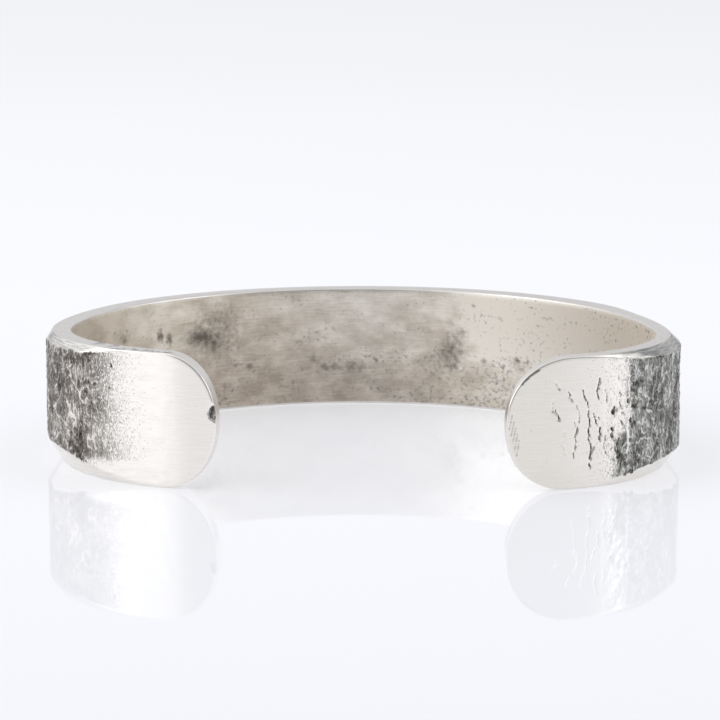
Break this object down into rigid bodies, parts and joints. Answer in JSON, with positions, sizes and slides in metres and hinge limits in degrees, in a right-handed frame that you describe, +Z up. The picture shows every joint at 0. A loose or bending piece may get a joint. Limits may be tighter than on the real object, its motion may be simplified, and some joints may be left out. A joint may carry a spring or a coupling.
{
  "type": "cuff bracelet",
  "caption": "Open oval cuff bracelet of cast silver with a bark-like outside, smooth inside and polished rounded ends.",
  "frame": {"origin": "on the floor under the middle of the band's outer box, the band lying on its lower edge", "axes": "+X to the right across the wrist, along the longer side of the oval; +Y from the opening to the middle of the back; +Z up, along the height of the band, which is the wearer's arm"},
  "size_m": [0.0622, 0.05, 0.0127],
  "materials": {
    "cast_silver": "sterling silver: polished on the ends, satin inside, dark oxidised recesses in the bark relief"
  },
  "bodies": {
    "root": {"cuff_band": "cast_silver"}
  },
  "joints": []
}
